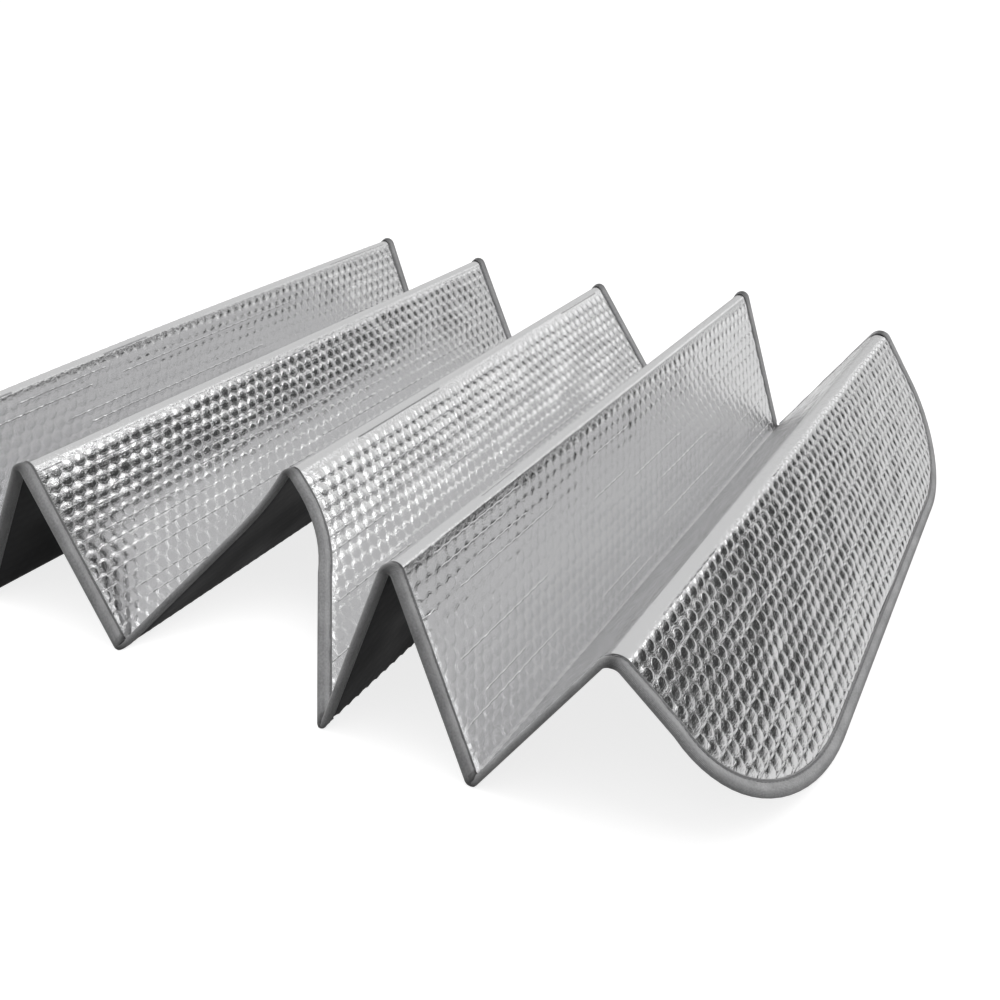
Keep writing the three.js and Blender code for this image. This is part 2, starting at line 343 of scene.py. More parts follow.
def vector_math(tree, operation, a, b):
    node = add_node(tree, "ShaderNodeVectorMath", {"operation": operation})
    tree.links.new(a, node.inputs[0])
    tree.links.new(b, node.inputs[1])
    return node.outputs


def tree_parts(tree, vector):
    """The X, Y and Z of a vector."""
    node = tree.nodes.new("ShaderNodeSeparateXYZ")
    tree.links.new(vector, node.inputs[0])
    return node.outputs


def colour_ramp(tree, source, stops, interpolation="LINEAR"):
    """A colour for each value of the source, from stops (place, colour)."""
    ramp = tree.nodes.new("ShaderNodeValToRGB")
    ramp.color_ramp.interpolation = interpolation
    elements = ramp.color_ramp.elements
    while len(elements) < len(stops):
        elements.new(0.5)
    for element, (place, colour) in zip(elements, stops):
        element.position = place
        element.color = (*colour, 1.0)
    tree.links.new(source, ramp.inputs["Fac"])
    return ramp.outputs["Color"]


def greys(stops):
    return [(place, (value, value, value)) for place, value in stops]


def triangle_count(thing):
    return sum(len(p.vertices) - 2 for p in thing.data.polygons)


def set_input(modifier, label, value):
    """Sets a modifier's input by the socket's identifier."""
    for item in modifier.node_group.interface.items_tree:
        if item.item_type == "SOCKET" and item.in_out == "INPUT" and item.name == label:
            modifier[item.identifier] = value


# %% [markdown]
# ## Finishes
# Four finishes cover the object: the bright film, the dull backing, whose near-black colour is painted
# shade, the woven tape and the thread.
# Creases in the film are a bump: small random ones, streaks along the rows, and here and there a long
# straight line between two rows. The film and the backing share it as a node group, each with its own
# strength.

# %% Node groups that the finishes share
def shader_group(name, inputs, outputs):
    group = bpy.data.node_groups.new(name, "ShaderNodeTree")
    for label, kind, value in inputs:
        socket = group.interface.new_socket(label, in_out="INPUT", socket_type=kind)
        socket.default_value = value
    for label, kind in outputs:
        group.interface.new_socket(label, in_out="OUTPUT", socket_type=kind)
    return group, group.nodes.new("NodeGroupInput"), group.nodes.new("NodeGroupOutput")


def make_crinkle_group(line_sharpness=16.0, line_rarity=0.57, line_run=7.0, lane_step=7.31,
                       streak_scale=(620.0, 22.0, 1.0), streak_share=0.5, patch_scale=14.0):
    """Small random creases, and long straight ones between the rows, on the flat map of the sheet."""
    group, given, result = shader_group(
        "film_crinkle",
        [("Grain", "NodeSocketFloat", 260.0), ("Creases", "NodeSocketFloat", 1.0)],
        [("Height", "NodeSocketFloat"), ("Patch", "NodeSocketFloat")])
    flat_map = add_node(group, "ShaderNodeUVMap", {"uv_map": "flat"}).outputs["UV"]
    small = add_node(group, "ShaderNodeTexNoise", Vector=flat_map, Scale=given.outputs["Grain"],
                     Detail=3.0, Roughness=0.6, Distortion=0.6)
    parts = tree_parts(group, flat_map)
    rows = math_node(group, "DIVIDE", parts["X"], row_pitch * MM)
    lane = math_node(group, "FLOOR", rows)
    in_lane = math_node(group, "SUBTRACT", math_node(group, "FRACT", rows), 0.5)
    off_line = math_node(group, "ABSOLUTE", in_lane)
    line = math_node(group, "SUBTRACT", 1.0, math_node(group, "MULTIPLY", off_line, line_sharpness))
    line = math_node(group, "MAXIMUM", line, 0.0)
    stretch = add_node(group, "ShaderNodeCombineXYZ", X=math_node(group, "MULTIPLY", lane, lane_step),
                       Y=math_node(group, "MULTIPLY", parts["Y"], line_run))
    chosen = add_node(group, "ShaderNodeTexNoise", Vector=stretch.outputs["Vector"], Scale=1.0, Detail=0.0)
    here = math_node(group, "GREATER_THAN", chosen.outputs["Fac"], line_rarity)
    line = math_node(group, "MULTIPLY", math_node(group, "MULTIPLY", line, here), given.outputs["Creases"])
    patch = add_node(group, "ShaderNodeTexNoise", Vector=flat_map, Scale=patch_scale, Detail=1.0)
    drawn = add_node(group, "ShaderNodeMapping", Vector=flat_map, Scale=streak_scale)
    streak = add_node(group, "ShaderNodeTexNoise", Vector=drawn.outputs["Vector"], Scale=1.0, Detail=2.0)
    height = math_node(group, "ADD", math_node(group, "ADD", small.outputs["Fac"], line),
                       math_node(group, "MULTIPLY", streak.outputs["Fac"], streak_share))
    group.links.new(height, result.inputs["Height"])
    group.links.new(patch.outputs["Fac"], result.inputs["Patch"])
    return group


crinkle_group = make_crinkle_group()


def new_material(name):
    material = bpy.data.materials.new(name)
    material.use_nodes = True
    return material, material.node_tree, material.node_tree.nodes["Principled BSDF"]


def place_group(tree, group, **values):
    node = tree.nodes.new("ShaderNodeGroup")
    node.node_tree = group
    for label, value in values.items():
        node.inputs[label.replace("_", " ")].default_value = value
    return node


# %% [markdown]
# The film is a mirror-like metal. Its domes are smooth and the lands between them are creased, so a
# point attribute tells the two apart and drives roughness and the strength of the bump.

# %% Film and backing
def make_foil(name, colour, metal, specular, rough_dome, rough_land, bump, grain, creases):
    material, tree, shader = new_material(name)
    crinkle = place_group(tree, crinkle_group, Grain=grain, Creases=creases)
    dome = add_node(tree, "ShaderNodeAttribute", {"attribute_name": "dome"}).outputs["Fac"]
    rough = add_node(tree, "ShaderNodeMapRange", Value=dome, To_Min=rough_land, To_Max=rough_dome)
    patchy = add_node(tree, "ShaderNodeMapRange", Value=crinkle.outputs["Patch"],
                      From_Min=0.3, From_Max=0.7, To_Min=0.85, To_Max=1.2)
    roughness = math_node(tree, "MULTIPLY", rough.outputs["Result"], patchy.outputs["Result"])
    tree.links.new(roughness, shader.inputs["Roughness"])
    share = add_node(tree, "ShaderNodeMapRange", Value=dome, To_Min=1.0, To_Max=0.4)
    height = math_node(tree, "MULTIPLY", crinkle.outputs["Height"], share.outputs["Result"])
    bump_node = add_node(tree, "ShaderNodeBump", Height=height, Strength=1.0, Distance=bump * MM)
    tree.links.new(bump_node.outputs["Normal"], shader.inputs["Normal"])
    shader.inputs["Base Color"].default_value = (*colour, 1.0)
    shader.inputs["Metallic"].default_value = metal
    shader.inputs["Specular IOR Level"].default_value = specular
    return material


film_finish = make_foil("bright_film", (0.78, 0.78, 0.785), metal=1.0, specular=0.5, rough_dome=0.12,
                        rough_land=0.20, bump=0.26, grain=460.0, creases=2.4)
# The backing's near-black colour is painted shade, standing in for the shade on the undersides inside the
# tents.
backing_finish = make_foil("backing_painted_shade", (0.018, 0.018, 0.019), metal=0.0, specular=0.2, rough_dome=0.6,
                           rough_land=0.65, bump=0.05, grain=180.0, creases=1.0)

# %% [markdown]
# The tape is a plain woven fabric. Its map runs along the tape, so the weave follows it round the
# corners. Two crossed waves make the weave, and noise makes the yarn uneven. A ramp across the tape
# paints light and shade on it: painted shade at its inner edge, in the sewn channel, round the outer
# roll and underneath, and a painted highlight along its raised crest. Painted shade darkens it in the
# folds too.

# %% Tape and thread
def make_tape(wander_by=0.07, fold_shade=0.8):
    material, tree, shader = new_material("woven_tape")
    along = add_node(tree, "ShaderNodeUVMap", {"uv_map": "along"}).outputs["UV"]
    weft = add_node(tree, "ShaderNodeTexWave", {"bands_direction": "X"}, Vector=along, Scale=360.0,
                    Distortion=1.2, Detail=1.0)
    warp = add_node(tree, "ShaderNodeTexWave", {"bands_direction": "Y"}, Vector=along, Scale=420.0,
                    Distortion=1.0, Detail=1.0)
    yarn = add_node(tree, "ShaderNodeTexNoise", Vector=along, Scale=700.0, Detail=2.0)
    weave = math_node(tree, "ADD", weft.outputs["Fac"], warp.outputs["Fac"])
    height = math_node(tree, "ADD", weave, yarn.outputs["Fac"])
    bump_node = add_node(tree, "ShaderNodeBump", Height=height, Strength=1.0, Distance=0.12 * MM)
    tree.links.new(bump_node.outputs["Normal"], shader.inputs["Normal"])
    cloudy = add_node(tree, "ShaderNodeTexNoise", Vector=along, Scale=60.0, Detail=3.0)
    mixed = math_node(tree, "ADD", math_node(tree, "MULTIPLY", yarn.outputs["Fac"], 0.5),
                      math_node(tree, "MULTIPLY", cloudy.outputs["Fac"], 0.5))
    cloth = colour_ramp(tree, mixed, [(0.3, (0.26, 0.26, 0.265)), (0.7, (0.50, 0.50, 0.505))])
    across = math_node(tree, "DIVIDE", tree_parts(tree, along)["Y"], tape_round * MM)
    drawn = add_node(tree, "ShaderNodeMapping", Vector=along, Scale=(40.0, 900.0, 1.0))
    streak = add_node(tree, "ShaderNodeTexNoise", Vector=drawn.outputs[0], Scale=1.0, Detail=2.0)
    wander = math_node(tree, "MULTIPLY", math_node(tree, "SUBTRACT", streak.outputs["Fac"], 0.5), wander_by)
    # Painted light across the tape: painted shade at the inner edge, the sewn channel, the outer roll and
    # underneath, a painted highlight on the raised crest.
    stops = greys([(0.0, 0.75), (0.05, 0.42), (0.085, 0.95), (0.17, 1.0), (0.27, 0.7), (0.42, 0.5)])
    band = colour_ramp(tree, math_node(tree, "ADD", across, wander), stops, "EASE")
    # Painted shade: the tape is darkened in the folds, where it is pinched.
    pinch = add_node(tree, "ShaderNodeAttribute", {"attribute_name": "pinch"}).outputs["Fac"]
    shade = math_node(tree, "SUBTRACT", 1.0, math_node(tree, "MULTIPLY", pinch, fold_shade))
    shade = math_node(tree, "MULTIPLY", shade, band)
    # The cloth colour times the painted light across the tape and the painted shade in the folds.
    cloth_with_painted_light = add_node(tree, "ShaderNodeVectorMath", {"operation": "SCALE"}, Scale=shade)
    tree.links.new(cloth, cloth_with_painted_light.inputs[0])
    tree.links.new(cloth_with_painted_light.outputs[0], shader.inputs["Base Color"])
    shader.inputs["Roughness"].default_value = 0.75
    shader.inputs["Sheen Weight"].default_value = 0.25
    shader.inputs["Sheen Roughness"].default_value = 0.5
    return material


def make_thread():
    material, tree, shader = new_material("sewing_thread")
    here = add_node(tree, "ShaderNodeTexCoord").outputs["Object"]
    twist = add_node(tree, "ShaderNodeTexNoise", Vector=here, Scale=900.0, Detail=2.0)
    ply = colour_ramp(tree, twist.outputs["Fac"], [(0.0, (0.12, 0.12, 0.125)), (1.0, (0.30, 0.30, 0.31))])
    tree.links.new(ply, shader.inputs["Base Color"])
    shader.inputs["Roughness"].default_value = 0.6
    return material


tape_finish = make_tape()
thread_finish = make_thread()
print("finishes:", [m.name for m in (film_finish, backing_finish, tape_finish, thread_finish)])

# %% [markdown]
# ## One bubble
# Each bubble is a low round cushion whose top is nearly flat, because the film is stretched over it.
# It sits on a six-sided cell, and the cells fit together like a honeycomb, so the film has no gaps.

# %% One cell of film
def cell_mesh(name, rings, sides=12):
    """A six-sided cell with rings (radius, height) round its centre, the first one being the middle."""
    points = [(0.0, 0.0, rings[0][1])]
    for radius, height in rings[1:]:
        for k in range(sides):
            turn_by = 2 * math.pi * k / sides
            points.append((radius * math.cos(turn_by), radius * math.sin(turn_by), height))
    corner = bubble_pitch / math.sqrt(3)
    first_corner = len(points)
    for k in range(6):
        points.append((corner * math.cos(math.pi * k / 3), corner * math.sin(math.pi * k / 3), 0.0))
    faces = [(0, 1 + k, 1 + (k + 1) % sides) for k in range(sides)]
    for ring in range(len(rings) - 2):
        base = 1 + ring * sides
        for k in range(sides):
            after = (k + 1) % sides
            faces.append((base + k, base + sides + k, base + sides + after, base + after))
    base = 1 + (len(rings) - 2) * sides
    share = sides // 6
    for k in range(6):
        corner_now, corner_next = first_corner + k, first_corner + (k + 1) % 6
        middle = base + k * share + share // 2
        for j in range(share):
            here, after = base + k * share + j, base + (k * share + j + 1) % sides
            faces.append((here, corner_now if here < middle else corner_next, after))
        faces.append((corner_now, corner_next, middle))
    cell = new_object(name, points, faces)
    cell.hide_render = True
    return cell


bubble_cell = cell_mesh("bubble_cell", [(0, 0.56), (3.0, 0.48), (3.75, 0.39), (4.7, 0.02)])
dimple_cell = cell_mesh("dimple_cell", [(0, 0.28), (3.6, 0.10)], sides=6)
print("faces of a bubble cell:", len(bubble_cell.data.polygons))

# %% [markdown]
# ## Rows of bubbles
# Geometry Nodes lay the cells out in rows. Every second row moves along by half a pitch. Each bubble
# gets its own height and a slight tilt from a fixed seed, as real ones are filled a little unevenly.

# %% Geometry Nodes: a field of cells
def make_field_tree():
    tree = node_tree("bubble_field", [
        ("Rows", "NodeSocketInt", 13), ("Bubbles", "NodeSocketInt", 60),
        ("Row pitch", "NodeSocketFloat", row_pitch), ("Pitch", "NodeSocketFloat", bubble_pitch),
        ("Cell", "NodeSocketObject", None), ("Unevenness", "NodeSocketFloat", 0.2),
        ("Tilt", "NodeSocketFloat", 0.05), ("Seed", "NodeSocketInt", 0), ("First odd", "NodeSocketInt", 0),
        ("Finish", "NodeSocketMaterial", None)])
    given = tree.nodes.new("NodeGroupInput").outputs
    end = tree.nodes.new("NodeGroupOutput")
    total = math_node(tree, "MULTIPLY", given["Rows"], given["Bubbles"])
    dots = add_node(tree, "GeometryNodePoints", Count=total)
    index = tree.nodes.new("GeometryNodeInputIndex").outputs["Index"]
    row = math_node(tree, "FLOOR", math_node(tree, "DIVIDE", index, given["Bubbles"]))
    place = math_node(tree, "SUBTRACT", index, math_node(tree, "MULTIPLY", row, given["Bubbles"]))
    odd = math_node(tree, "MODULO", math_node(tree, "ADD", row, given["First odd"]), 2.0)
    x = math_node(tree, "MULTIPLY", row, given["Row pitch"])
    y = math_node(tree, "MULTIPLY", math_node(tree, "ADD", place, math_node(tree, "MULTIPLY", odd, 0.5)),
                  given["Pitch"])
    spot = add_node(tree, "ShaderNodeCombineXYZ", X=x, Y=y)
    laid = add_node(tree, "GeometryNodeSetPosition", Geometry=dots.outputs[0], Position=spot.outputs[0])
    cell = add_node(tree, "GeometryNodeObjectInfo", Object=given["Cell"])
    least = math_node(tree, "SUBTRACT", 1.0, given["Unevenness"])
    rise = add_node(tree, "FunctionNodeRandomValue", {"data_type": "FLOAT"}, Min=least, Max=1.0,
                    Seed=given["Seed"])
    scale = add_node(tree, "ShaderNodeCombineXYZ", X=1.0, Y=1.0, Z=rise.outputs[1])
    copies = add_node(tree, "GeometryNodeInstanceOnPoints", Points=laid.outputs[0],
                      Instance=cell.outputs["Geometry"], Scale=scale.outputs[0])
    position = tree.nodes.new("GeometryNodeInputPosition").outputs[0]
    centred = add_node(tree, "GeometryNodeStoreNamedAttribute",
                       {"data_type": "FLOAT_VECTOR", "domain": "INSTANCE"},
                       Geometry=copies.outputs[0], Name="centre", Value=position)
    lean = add_node(tree, "FunctionNodeRandomValue", {"data_type": "FLOAT_VECTOR"},
                    Min=(-1.0, -1.0, 0.0), Max=(1.0, 1.0, 0.0),
                    Seed=math_node(tree, "ADD", given["Seed"], 7.0))
    leaning = add_node(tree, "GeometryNodeStoreNamedAttribute",
                       {"data_type": "FLOAT_VECTOR", "domain": "INSTANCE"},
                       Geometry=centred.outputs[0], Name="lean", Value=lean.outputs[0])
    solid = add_node(tree, "GeometryNodeRealizeInstances", Geometry=leaning.outputs[0])
    centre = add_node(tree, "GeometryNodeInputNamedAttribute", {"data_type": "FLOAT_VECTOR"}, Name="centre")
    own_lean = add_node(tree, "GeometryNodeInputNamedAttribute", {"data_type": "FLOAT_VECTOR"}, Name="lean")
    away = vector_math(tree, "SUBTRACT", position, centre.outputs[0])["Vector"]
    tip = vector_math(tree, "DOT_PRODUCT", away, own_lean.outputs[0])["Value"]
    on_top = math_node(tree, "GREATER_THAN", tree_parts(tree, position)["Z"], 0.2)
    lean_by = math_node(tree, "MULTIPLY", tip, given["Tilt"])
    lift = math_node(tree, "MULTIPLY", lean_by, on_top)
    move = add_node(tree, "ShaderNodeCombineXYZ", Z=lift)
    tipped = add_node(tree, "GeometryNodeSetPosition", Geometry=solid.outputs[0], Offset=move.outputs[0])
    finish = add_node(tree, "GeometryNodeSetMaterial", Geometry=tipped.outputs[0], Material=given["Finish"])
    tree.links.new(finish.outputs[0], end.inputs[0])
    return tree


field_tree = make_field_tree()


def cell_field(rows, first_odd, seed, cell, finish, unevenness, tilt):
    """Points and faces of a field of cells, its first row at s 0 and its first bubble at y 0."""
    base = new_object("field", [(0, 0, 0)], [])
    modifier = base.modifiers.new("rows", "NODES")
    modifier.node_group = field_tree
    bubbles = int(sheet_depth / bubble_pitch) + 3
    for label, value in [("Rows", rows), ("Bubbles", bubbles), ("Cell", cell), ("Seed", seed),
                         ("First odd", first_odd), ("Finish", finish), ("Unevenness", unevenness),
                         ("Tilt", tilt), ("Row pitch", row_pitch), ("Pitch", bubble_pitch)]:
        set_input(modifier, label, value)
    mesh = baked_mesh(base)
    points = read_points(mesh)
    sizes = np.empty(len(mesh.polygons), dtype=np.int32)
    mesh.polygons.foreach_get("loop_total", sizes)
    corners = np.empty(len(mesh.loops), dtype=np.int32)
    mesh.loops.foreach_get("vertex_index", corners)
    bpy.data.meshes.remove(mesh)
    bpy.data.objects.remove(base)
    return points, np.split(corners, np.cumsum(sizes)[:-1])


# %% [markdown]
# ## The film, tent by tent
# The film is made in five pieces, each reaching from valley to valley over one ridge. They meet on the
# flat strip at the bottom of a valley, where no seam can show. Beside each fold the film is pressed
# smooth, so a strip with fine steps joins the rows on both sides of the fold.

# %% Lay out rows and fold strips
first_y = -half_depth - bubble_pitch


def rows_between(start, end, near_gap, far_gap):
    """First row's s and the number of rows between two lines, centred between the gaps."""
    room = end - far_gap - start - near_gap - 2 * row_reach
    count = int(room / row_pitch) + 1
    return (start + near_gap + end - far_gap - (count - 1) * row_pitch) / 2, count


def panel_rows(panel):
    start = panel * panel_width
    if panel == panels_per_side:
        return rows_between(start, start + end_width_front, end_ridge_band, 4.0)
    if panel == -panels_per_side - 1:
        first, count = rows_between(end_fold, end_fold + end_width_front, end_ridge_band, 4.0)
        return -first - (count - 1) * row_pitch, count
    bands = (ridge_band, valley_band) if panel % 2 == 0 else (valley_band, ridge_band)
    return rows_between(start, start + panel_width, *bands)


def zigzag(s, first_odd, side):
    """Edge of a row's cells: s for every half pitch along y, on the row's left (-1) or right (1)."""
    steps = 2 * (int(sheet_depth / bubble_pitch) + 3)
    corner = bubble_pitch / math.sqrt(3)
    k = np.arange(-1, steps)
    at_centre = (k - first_odd) % 2 == 0
    return s + side * np.where(at_centre, corner, corner / 2), first_y + k * bubble_pitch / 2


def strip(left, right, y, inner):
    """A strip of quads between two zigzag edges, with inner lines at fixed s."""
    columns = [left] + [np.full_like(left, s) for s in inner] + [right]
    points = np.column_stack([np.concatenate(columns), np.tile(y, len(columns)),
                              np.zeros(len(columns) * len(y))])
    count = len(y)
    faces = []
    for c in range(len(columns) - 1):
        for k in range(count - 1):
            a = c * count + k
            faces.append((a, a + count, a + count + 1, a + 1))
    return points, faces


def gather(parts):
    """Joins lists of points and faces, and welds points that meet in the flat."""
    points = np.vstack([p for p, _ in parts])
    offset = 0
    faces = []
    for p, f in parts:
        faces += [np.asarray(face) + offset for face in f]
        offset += len(p)
    key = np.round(points[:, :2] * 20).astype(np.int64)
    _, first, same = np.unique(key, axis=0, return_index=True, return_inverse=True)
    same = same.ravel()
    return points[first], [same[f] for f in faces]


def tent_parts(panels, cell, finish, unevenness, tilt):
    parts = []
    layout = {panel: panel_rows(panel) for panel in panels}
    for panel in panels:
        first, count = layout[panel]
        points, faces = cell_field(count, panel % 2, 40 + panel, cell, finish, unevenness, tilt)
        parts.append((points + [first, first_y, 0.0], faces))
    for panel in panels:
        first, count = layout[panel]
        last = first + (count - 1) * row_pitch
        odd_first = panel % 2
        odd_last = (panel + count - 1) % 2
        left, y = zigzag(first, odd_first, -1)
        right, _ = zigzag(last, odd_last, 1)
        at_start = [] if panel == -panels_per_side - 1 else half_lines(panel, 1)
        at_end = [] if panel == panels_per_side else half_lines(panel + 1, -1)
        if at_start:
            parts.append(strip(np.full_like(left, at_start[0]), left, y, at_start[1:]))
        else:
            parts.append(strip(np.full_like(left, -end_fold - end_width_front - 2.0), left, y, []))
        if at_end:
            parts.append(strip(right, np.full_like(right, at_end[-1]), y, at_end[:-1]))
        else:
            parts.append(strip(right, np.full_like(right, end_fold + end_width_front + 2.0), y, []))
    return parts


def half_lines(fold, side):
    """The fold's line and the fine lines on one side of it, in order of s."""
    radius = station_radius[fold + panels_per_side + 1]
    flat = station_flat[fold + panels_per_side + 1]
    is_ridge = fold % 2 == 0
    is_end = abs(fold) == panels_per_side and side * fold > 0
    room = (end_ridge_band if is_end else ridge_band) if is_ridge else valley_band
    reach = min(flat + radius * 1.5, room - 2.3)
    lines = fold * panel_width + side * np.linspace(0, reach, 6 if room > 4 else 4)
    return sorted(lines.tolist())


# %% [markdown]
# ## Pressing, creasing and folding the film
# Towards the tape the film is pressed down to the sheet's rim, and the bubbles there with it. Broad,
# soft waves keep a panel from being a perfect mirror: a few sines with fixed phases are enough.

# %% Press, wave and fold
def smoothstep(low_end, high_end, value):
    t = np.clip((value - low_end) / (high_end - low_end), 0, 1)
    return t * t * (3 - 2 * t)


wave_draw = np.random.default_rng(11)
waves = [(wave_draw.uniform(25, 75), wave_draw.uniform(60, 240), wave_draw.uniform(0, 2 * math.pi),
          wave_draw.uniform(0, 2 * math.pi)) for _ in range(9)]


def broad_waves(s, y):
    total = np.zeros_like(s)
    for across, along, phase_s, phase_y in waves:
        total += np.sin(2 * math.pi * s / across + phase_s + 1.3 * np.sin(2 * math.pi * y / along)) \
            * np.cos(2 * math.pi * y / along + phase_y)
    return total / 3


def fold_distance(s):
    nearest = np.clip(np.round(s / panel_width), -panels_per_side, panels_per_side)
    return np.abs(s - nearest * panel_width)


def press_and_fold(parts, name, finish, face, level, wave_height):
    """Turns flat cells into a folded piece: face is 1 for the top film and -1 for the backing.

    Points outside the outline move onto it, and cells that lie wholly outside are dropped.
    """
    points, faces = gather(parts)
    depth, nearest = inside_by(points)
    outside = depth < 1.0
    inward = points[:, :2] - nearest
    length = np.maximum(np.hypot(inward[:, 0], inward[:, 1]), 1e-6)
    inward = np.where(depth[:, None] < 0, -inward, inward) / length[:, None]
    keep_out = depth < -bubble_pitch
    points[outside, :2] = nearest[outside] + inward[outside]
    raised = smoothstep(press_start, press_end, depth)
    dome = points[:, 2].copy()
    from_fold = fold_distance(points[:, 0])
    wave = broad_waves(points[:, 0], points[:, 1]) * smoothstep(4, 20, from_fold) * smoothstep(14, 40, depth)
    on_ridge = np.round(points[:, 0] / panel_width) % 2 == 0
    shoulder = np.where(on_ridge, ridge_drop * np.exp(-from_fold / ridge_drop_reach), 0.0)
    lifted = rim_height + (level + dome - rim_height - shoulder) * raised
    points[:, 2] = (lifted + wave * wave_height) * face
    lost = np.array([keep_out[f].any() for f in faces])
    kept = [f if face > 0 else f[::-1] for f, gone in zip(faces, lost) if not gone]
    flat = points.copy()
    piece = new_object(name, folded(points), kept, finish)
    mesh = piece.data
    corners = np.empty(len(mesh.loops), dtype=np.int32)
    mesh.loops.foreach_get("vertex_index", corners)
    layer = mesh.uv_layers.new(name="flat")
    layer.data.foreach_set("uv", (flat[corners, :2] * MM).ravel())
    mask = mesh.attributes.new("dome", "FLOAT", "POINT")
    mask.data.foreach_set("value", np.clip(dome / 0.45, 0, 1) * raised)
    tidy = bmesh.new()
    tidy.from_mesh(mesh)
    bmesh.ops.dissolve_degenerate(tidy, dist=2e-5, edges=tidy.edges)
    loose = [v for v in tidy.verts if not v.link_faces]
    bmesh.ops.delete(tidy, geom=loose, context="VERTS")
    tidy.to_mesh(mesh)
    tidy.free()
    shade_smooth(mesh)
    return piece


tents = [(-5, -4), (-3, -2), (-1, 0), (1, 2), (3, 4)]
films = []
for number, panels in enumerate(tents, 1):
    parts = tent_parts(panels, bubble_cell, film_finish, unevenness=0.25, tilt=0.026)
    films.append(press_and_fold(parts, f"film_{number}", film_finish, face=1, level=sheet_top,
                                wave_height=0.35))
backing_parts = []
for panels in tents:
    backing_parts += tent_parts(panels, dimple_cell, backing_finish, unevenness=0.5, tilt=0.0)
backing = press_and_fold(backing_parts, "backing", backing_finish, face=-1, level=sheet_under - 0.3,
                         wave_height=0.2)
for piece in [*films, backing]:
    print(piece.name, triangle_count(piece), "triangles")

# %% [markdown]
# ## Edge tape
# The tape is folded over the rim, so its section is a narrow U. It is swept round the flat outline,
# with close steps near the folds, and then folded with the sheet. A sewn channel runs near its inner
# edge, and its surface is a little uneven, as sewn tape is.

# %% Sweep the tape
def edge_path(fine=0.9, coarse=4.0, fold_reach=9.0):
    """Pieces of the outline (corner index, share along the edge) with close steps near the folds."""
    path = []
    for i, start in enumerate(outline):
        end = outline[(i + 1) % len(outline)]
        length = np.hypot(*(end - start))
        share = 0.0
        while share < 1.0 - 1e-6:
            path.append((i, share))
            s = start[0] + (end[0] - start[0]) * share
            near = fold_distance(np.array([s]))[0] < fold_reach
            across = abs(end[0] - start[0]) / length
            step = fine if near and across > 0.3 else coarse
            share += step / length
    return path


def corner_mitres():
    before = np.roll(outline, 1, axis=0)
    after = np.roll(outline, -1, axis=0)
    a = (outline - before) / np.linalg.norm(outline - before, axis=1)[:, None]
    b = (after - outline) / np.linalg.norm(after - outline, axis=1)[:, None]
    normal_a = np.column_stack([-a[:, 1], a[:, 0]])
    normal_b = np.column_stack([-b[:, 1], b[:, 0]])
    mitre = normal_a + normal_b
    mitre /= np.linalg.norm(mitre, axis=1)[:, None]
    return mitre / (mitre * normal_a).sum(1)[:, None]


mitres = corner_mitres()
path = edge_path()


def inset(depth):
    """The path moved inwards by a depth, with mitred corners."""
    index = np.array([i for i, _ in path])
    share = np.array([t for _, t in path])[:, None]
    after = (index + 1) % len(outline)
    return (1 - share) * (outline[index] + mitres[index] * depth) \
        + share * (outline[after] + mitres[after] * depth)


tape_section = [
    (tape_width, 1.0), (tape_width - 0.1, 1.4), (tape_width - 0.5, 1.55), (stitch_line + 0.5, 1.5),
    (stitch_line, 1.25), (stitch_line - 0.6, 1.55), (5.2, 1.9), (3.8, 2.25), (2.3, 2.35),
    (0.8, 2.15), (-0.3, 1.65), (-0.95, 0.9), (-1.1, 0.0),
]
under_reach = 1.88
lower_half = [(d, -min(n, under_reach)) for d, n in tape_section[:-1]][::-1]
inner_top = tape_width - 0.3
inner_side = [(inner_top, -0.95), (0.4, -0.9), (0.1, 0.0), (0.4, 0.9), (inner_top, 0.95)]
section = tape_section + lower_half + inner_side
ring = inset(0.0)
steps_along = np.linalg.norm(np.roll(ring, -1, axis=0) - ring, axis=1)
along = np.concatenate([[0], np.cumsum(steps_along)[:-1]])
print("tape", round(steps_along.sum()), "mm long,", len(path), "steps")


def uneven(along_mm, seed, scale):
    """A smooth random value along the tape, the same each run."""
    draw = np.random.default_rng(seed)
    knots = draw.normal(0, 1, int(steps_along.sum() / scale) + 2)
    knots[-1] = knots[0]
    place = along_mm / steps_along.sum() * (len(knots) - 1)
    low_knot = np.minimum(place.astype(int), len(knots) - 2)
    t = place - low_knot
    t = t * t * (3 - 2 * t)
    return knots[low_knot] * (1 - t) + knots[low_knot + 1] * t


